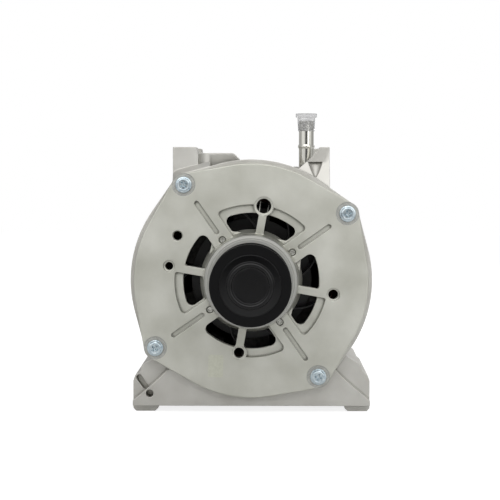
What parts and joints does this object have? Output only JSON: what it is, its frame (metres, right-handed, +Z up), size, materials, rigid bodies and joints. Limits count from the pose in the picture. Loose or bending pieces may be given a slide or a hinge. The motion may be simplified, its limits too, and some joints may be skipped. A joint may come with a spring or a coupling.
{
  "type": "alternator",
  "caption": "Engine alternator with cast water-cooled housing, feet and ears, a windowed front plate, an overrunning belt pulley and a capped coolant pipe.",
  "frame": {"origin": "middle of the four foot bolt holes, on the plane that the feet stand on", "axes": "+Z up, +Y back along the shaft away from the pulley, +X to the right as seen from the pulley"},
  "size_m": [0.1656, 0.2161, 0.206],
  "materials": {
    "cast_aluminium": "bare die cast, fine grain",
    "zinc_plated_steel": "blue passivated zinc",
    "pressed_steel": "dull pressed sheet",
    "bearing_steel": "ground",
    "forged_steel": "forged and turned",
    "laminated_steel": "stacked sheets, dull",
    "enamelled_copper": "enamelled wire",
    "copper": "bare copper",
    "machined_aluminium": "machined",
    "seal_rubber": "matt",
    "diode_silver": "tinned",
    "inner_black_plastic": "moulded",
    "brush_carbon": "pressed carbon",
    "spring_steel": "bright wire",
    "socket_plastic": "moulded",
    "cover_plastic": "glass filled, moulded",
    "pulley_black_steel": "black electrocoat",
    "pulley_cap_plastic": "moulded, satin",
    "nickel_plated_pipe": "nickel plated, bright",
    "clear_cap_plastic": "soft translucent moulding"
  },
  "bodies": {
    "stator_body": {"housing": "cast_aluminium", "front_plate": "cast_aluminium", "front_plate_screws": "zinc_plated_steel", "bearing_retainer": "pressed_steel", "retainer_screws": "zinc_plated_steel", "front_bearing_outer_ring": "bearing_steel", "jacket_sleeve": "machined_aluminium", "jacket_seals": "seal_rubber", "stator_core": "laminated_steel", "stator_winding_front": "enamelled_copper", "stator_winding_rear": "enamelled_copper", "phase_leads": "enamelled_copper", "rear_bracket": "cast_aluminium", "rear_bracket_screws": "zinc_plated_steel", "rear_bearing_sleeve": "inner_black_plastic", "rear_bearing_outer_ring": "bearing_steel", "negative_heat_sink": "machined_aluminium", "positive_heat_sink": "machined_aluminium", "negative_diodes": "diode_silver", "positive_diodes": "diode_silver", "terminal_board": "inner_black_plastic", "output_stud": "copper", "stud_insulator": "inner_black_plastic", "output_nut": "zinc_plated_steel", "brush_spring_front": "spring_steel", "brush_spring_rear": "spring_steel", "brush_holder": "inner_black_plastic", "regulator": "inner_black_plastic", "connector_socket": "socket_plastic", "connector_pins": "copper", "rear_cover": "cover_plastic", "rear_cover_screws": "zinc_plated_steel", "coolant_pipe": "nickel_plated_pipe"},
    "rotor": {"front_bearing_inner_ring": "bearing_steel", "rotor_shaft": "forged_steel", "claw_pole_front": "forged_steel", "claw_pole_rear": "forged_steel", "coil_bobbin": "inner_black_plastic", "field_coil": "enamelled_copper", "front_fan": "pressed_steel", "rear_fan": "pressed_steel", "spacer_collar": "forged_steel", "slip_rings": "copper", "slip_ring_body": "inner_black_plastic", "clutch_hub": "forged_steel", "clutch_rollers": "forged_steel", "rear_bearing_inner_ring": "bearing_steel"},
    "pulley": {"pulley_rim": "pulley_black_steel", "pulley_cap": "pulley_cap_plastic"},
    "front_ball_row": {"front_bearing_ball_row": "bearing_steel"},
    "rear_ball_row": {"rear_bearing_ball_row": "bearing_steel"},
    "brush_front": {"brush_front": "brush_carbon"},
    "brush_rear": {"brush_rear": "brush_carbon"},
    "pipe_cap": {"pipe_cap": "clear_cap_plastic"}
  },
  "joints": [
    {"name": "rotor_spin", "type": "hinge", "parent": "stator_body", "child": "rotor", "pos_m": [0, 0, 0.091], "axis": [0, 1, 0], "continuous": true},
    {"name": "pulley_overrun", "type": "hinge", "parent": "rotor", "child": "pulley", "pos_m": [0, 0, 0.091], "axis": [0, 1, 0], "continuous": true},
    {"name": "front_ball_row_spin", "type": "hinge", "parent": "stator_body", "child": "front_ball_row", "pos_m": [0, 0, 0.091], "axis": [0, 1, 0], "continuous": true},
    {"name": "rear_ball_row_spin", "type": "hinge", "parent": "stator_body", "child": "rear_ball_row", "pos_m": [0, 0, 0.091], "axis": [0, 1, 0], "continuous": true},
    {"name": "brush_front_lift", "type": "slide", "parent": "stator_body", "child": "brush_front", "axis": [0, 0, 1], "range_m": [0, 0.005], "stiffness_N_per_m": 200, "springref_m": -0.01, "deforming": ["brush_spring_front"]},
    {"name": "brush_rear_lift", "type": "slide", "parent": "stator_body", "child": "brush_rear", "axis": [0, 0, 1], "range_m": [0, 0.005], "stiffness_N_per_m": 200, "springref_m": -0.01, "deforming": ["brush_spring_rear"]},
    {"name": "pipe_cap_pull", "type": "slide", "parent": "stator_body", "child": "pipe_cap", "axis": [0, 0, 1], "range_m": [0, 0.03]}
  ],
  "couplings": [
    {"joint": "front_ball_row_spin", "follows": "rotor_spin", "ratio": 0.378},
    {"joint": "rear_ball_row_spin", "follows": "rotor_spin", "ratio": 0.444}
  ]
}
